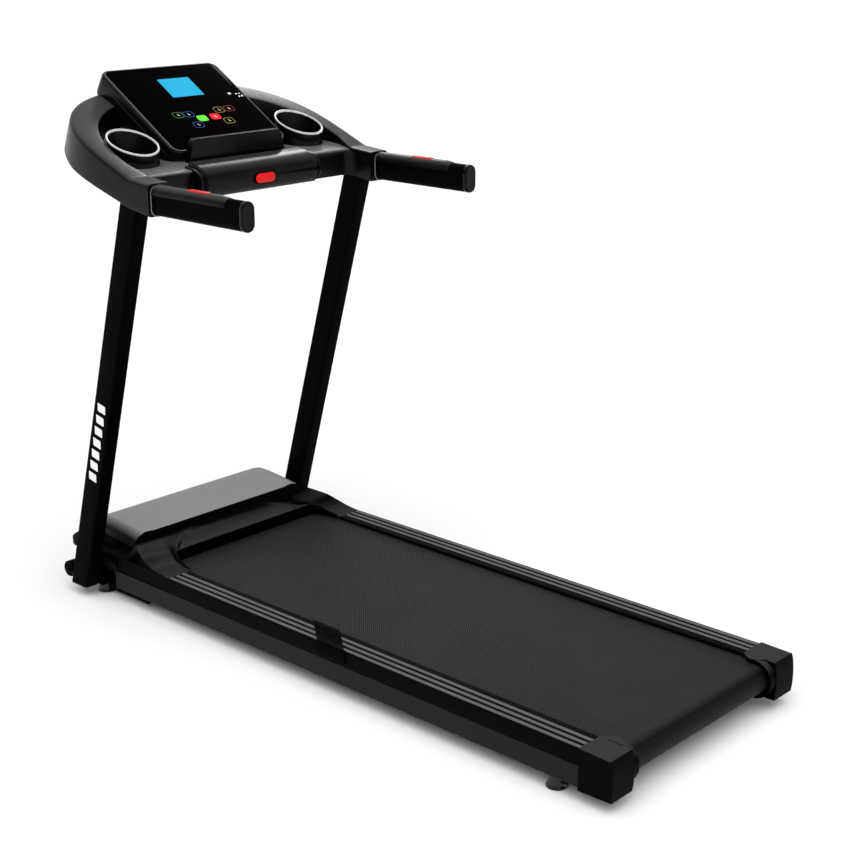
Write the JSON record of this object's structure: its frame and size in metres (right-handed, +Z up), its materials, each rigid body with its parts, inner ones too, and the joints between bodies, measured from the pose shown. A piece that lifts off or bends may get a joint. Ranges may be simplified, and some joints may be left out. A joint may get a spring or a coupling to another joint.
{
  "type": "folding treadmill",
  "caption": "Folding home treadmill with leaning uprights, a curved console with a tilted display and cup wells, straight side handles and a flat running deck.",
  "frame": {"origin": "centre of the footprint on the floor: bottom centre of the bounding box", "axes": "+Y forward, from the open end of the running deck to the motor hood; +Z up; +X to the right of a person standing on the belt and facing the console"},
  "size_m": [0.623, 1.441, 1.0599],
  "materials": {
    "black_paint": "satin",
    "grey_paint": "satin",
    "black_plastic": "satin",
    "gloss_black_plastic": "gloss",
    "silver_plastic": "satin",
    "rail_plastic": "matte",
    "belt_rubber": "matte",
    "black_rubber": "satin",
    "wheel_rubber": "matte",
    "steel": "satin",
    "bright_trim": "polished",
    "display_glass": "gloss",
    "lcd_blue": "gloss",
    "red_plastic": "gloss",
    "deck_wood": "matte",
    "circuit_board": "matte"
  },
  "bodies": {
    "base": {"base_frame": "black_paint", "left_post": "black_paint", "right_post": "black_paint", "left_post_cap": "black_plastic", "right_post_cap": "black_plastic", "left_front_foot": "black_rubber", "right_front_foot": "black_rubber", "left_wheel_bolt": "steel", "right_wheel_bolt": "steel", "left_pivot_bolt": "steel", "right_pivot_bolt": "steel", "console_shell": "gloss_black_plastic", "console_underside": "black_plastic", "crossbar_tube": "black_paint", "left_cup_holder": "black_plastic", "right_cup_holder": "black_plastic", "left_cup_rim": "bright_trim", "right_cup_rim": "bright_trim", "display_housing": "black_plastic", "display_glass": "display_glass", "lcd_panel": "lcd_blue", "display_ledge": "gloss_black_plastic", "crossbar_cover": "gloss_black_plastic", "left_handle_tube": "black_paint", "right_handle_tube": "black_paint", "left_handle_cap": "black_plastic", "right_handle_cap": "black_plastic", "left_handle_pad": "gloss_black_plastic", "right_handle_pad": "gloss_black_plastic"},
    "deck": {"deck_frame": "grey_paint", "deck_board": "deck_wood", "left_side_rail": "rail_plastic", "right_side_rail": "rail_plastic", "left_end_cap": "black_plastic", "right_end_cap": "black_plastic", "left_rear_foot": "black_rubber", "right_rear_foot": "black_rubber", "rail_clip": "black_plastic", "running_belt": "belt_rubber", "front_roller_axle": "steel", "rear_roller_axle": "steel", "motor": "black_paint", "motor_mount": "grey_paint", "controller": "circuit_board", "drive_belt": "black_rubber", "motor_hood": "gloss_black_plastic", "hood_panel": "silver_plastic", "belly_pan": "black_plastic", "power_inlet": "black_plastic"},
    "front_roller": {"front_roller": "steel"},
    "rear_roller": {"rear_roller": "steel"},
    "motor_pulley": {"motor_pulley": "steel"},
    "left_wheel": {"left_wheel": "wheel_rubber"},
    "right_wheel": {"right_wheel": "wheel_rubber"},
    "safety_key": {"safety_key": "red_plastic"},
    "left_handle_button": {"left_handle_button": "red_plastic"},
    "right_handle_button": {"right_handle_button": "red_plastic"},
    "gas_spring_cylinder": {"gas_spring_cylinder": "black_paint"},
    "gas_spring_rod": {"gas_spring_rod": "steel"},
    "power_switch": {"power_switch": "red_plastic"}
  },
  "joints": [
    {"name": "fold", "type": "hinge", "parent": "base", "child": "deck", "pos_m": [0, 0.6445, 0.06], "axis": [-1, 0, 0], "range_deg": [0, 64]},
    {"name": "front_roller_spin", "type": "hinge", "parent": "deck", "child": "front_roller", "pos_m": [0, 0.4695, 0.061], "axis": [1, 0, 0], "continuous": true},
    {"name": "rear_roller_spin", "type": "hinge", "parent": "deck", "child": "rear_roller", "pos_m": [0, -0.6825, 0.061], "axis": [1, 0, 0], "continuous": true},
    {"name": "motor_spin", "type": "hinge", "parent": "deck", "child": "motor_pulley", "pos_m": [0, 0.5845, 0.1], "axis": [1, 0, 0], "continuous": true},
    {"name": "left_wheel_spin", "type": "hinge", "parent": "base", "child": "left_wheel", "pos_m": [-0.293, 0.6635, 0.048], "axis": [1, 0, 0], "continuous": true},
    {"name": "right_wheel_spin", "type": "hinge", "parent": "base", "child": "right_wheel", "pos_m": [0.293, 0.6635, 0.048], "axis": [1, 0, 0], "continuous": true},
    {"name": "safety_key_pull", "type": "slide", "parent": "base", "child": "safety_key", "axis": [0, -1, 0], "range_m": [0, 0.02]},
    {"name": "left_handle_button_press", "type": "slide", "parent": "base", "child": "left_handle_button", "axis": [0, 0, -1], "range_m": [0, 0.0012], "stiffness_N_per_m": 400},
    {"name": "right_handle_button_press", "type": "slide", "parent": "base", "child": "right_handle_button", "axis": [0, 0, -1], "range_m": [0, 0.0012], "stiffness_N_per_m": 400},
    {"name": "power_switch_rock", "type": "hinge", "parent": "deck", "child": "power_switch", "pos_m": [0.121, 0.6965, 0.088], "axis": [1, 0, 0], "range_deg": [-5, 5]},
    {"name": "gas_spring_swing", "type": "hinge", "parent": "base", "child": "gas_spring_cylinder", "pos_m": [0.228, 0.5695, 0.034], "axis": [-1, 0, 0], "range_deg": [0, 71]},
    {"name": "gas_spring_extend", "type": "slide", "parent": "gas_spring_cylinder", "child": "gas_spring_rod", "axis": [0, -1, 0], "range_m": [0, 0.07]}
  ],
  "couplings": [
    {"joint": "rear_roller_spin", "follows": "front_roller_spin", "ratio": 1},
    {"joint": "motor_spin", "follows": "front_roller_spin", "ratio": 1.8182},
    {"joint": "gas_spring_swing", "follows": "fold", "ratio": 1.0846},
    {"joint": "gas_spring_extend", "follows": "fold", "m_per_rad": 0.06117}
  ]
}
